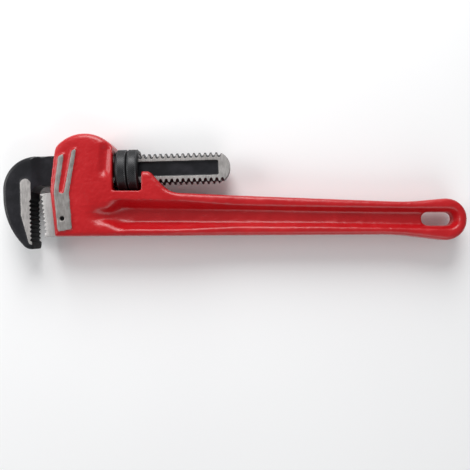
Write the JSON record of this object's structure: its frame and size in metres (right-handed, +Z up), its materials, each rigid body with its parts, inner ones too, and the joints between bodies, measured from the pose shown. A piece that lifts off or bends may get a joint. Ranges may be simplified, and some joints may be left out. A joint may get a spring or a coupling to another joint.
{
  "type": "pipe wrench",
  "caption": "Straight pipe wrench with a cast I-section handle and housing, a threaded hook jaw, a fixed heel jaw and a knurled adjusting nut.",
  "frame": {"origin": "centre of the footprint, on the floor that the wrench lies on", "axes": "+X from the jaws to the hanging hole, +Y to the side of the dome, +Z up through the thickness"},
  "size_m": [0.4106, 0.102, 0.038],
  "materials": {
    "red_enamel": "glossy red enamel on a casting, with bare ground lands",
    "black_forging": "black finished forging, with bare ground strips",
    "bright_steel": "ground bare steel",
    "dark_steel": "dark steel pin",
    "black_nut": "black oxide, knurled",
    "spring_steel": "oiled spring steel"
  },
  "bodies": {
    "handle": {"handle": "red_enamel", "heel_jaw": "bright_steel", "heel_jaw_pin": "dark_steel", "coil_spring": "spring_steel"},
    "spring_leaf": {"flat_spring": "spring_steel", "spring_rivet": "spring_steel"},
    "nut": {"adjusting_nut": "black_nut"},
    "jaw": {"hook_jaw": "black_forging"}
  },
  "joints": [
    {"name": "jaw_rock", "type": "hinge", "parent": "handle", "child": "spring_leaf", "pos_m": [-0.09549, 0.01959, 0.019], "axis": [0, 0, 1], "range_deg": [0, 2], "stiffness_Nm_per_rad": 4, "springref_deg": -5.73, "deforming": ["coil_spring"]},
    {"name": "nut_spin", "type": "hinge", "parent": "spring_leaf", "child": "nut", "pos_m": [-0.09549, 0.01959, 0.019], "axis": [0.9996, 0.0279, 0], "range_deg": [-450, 3240]},
    {"name": "jaw_slide", "type": "slide", "parent": "spring_leaf", "child": "jaw", "axis": [-0.9996, -0.0279, 0], "range_m": [-0.00625, 0.045]}
  ],
  "couplings": [
    {"joint": "nut_spin", "follows": "jaw_slide", "rad_per_m": 1256.6}
  ]
}
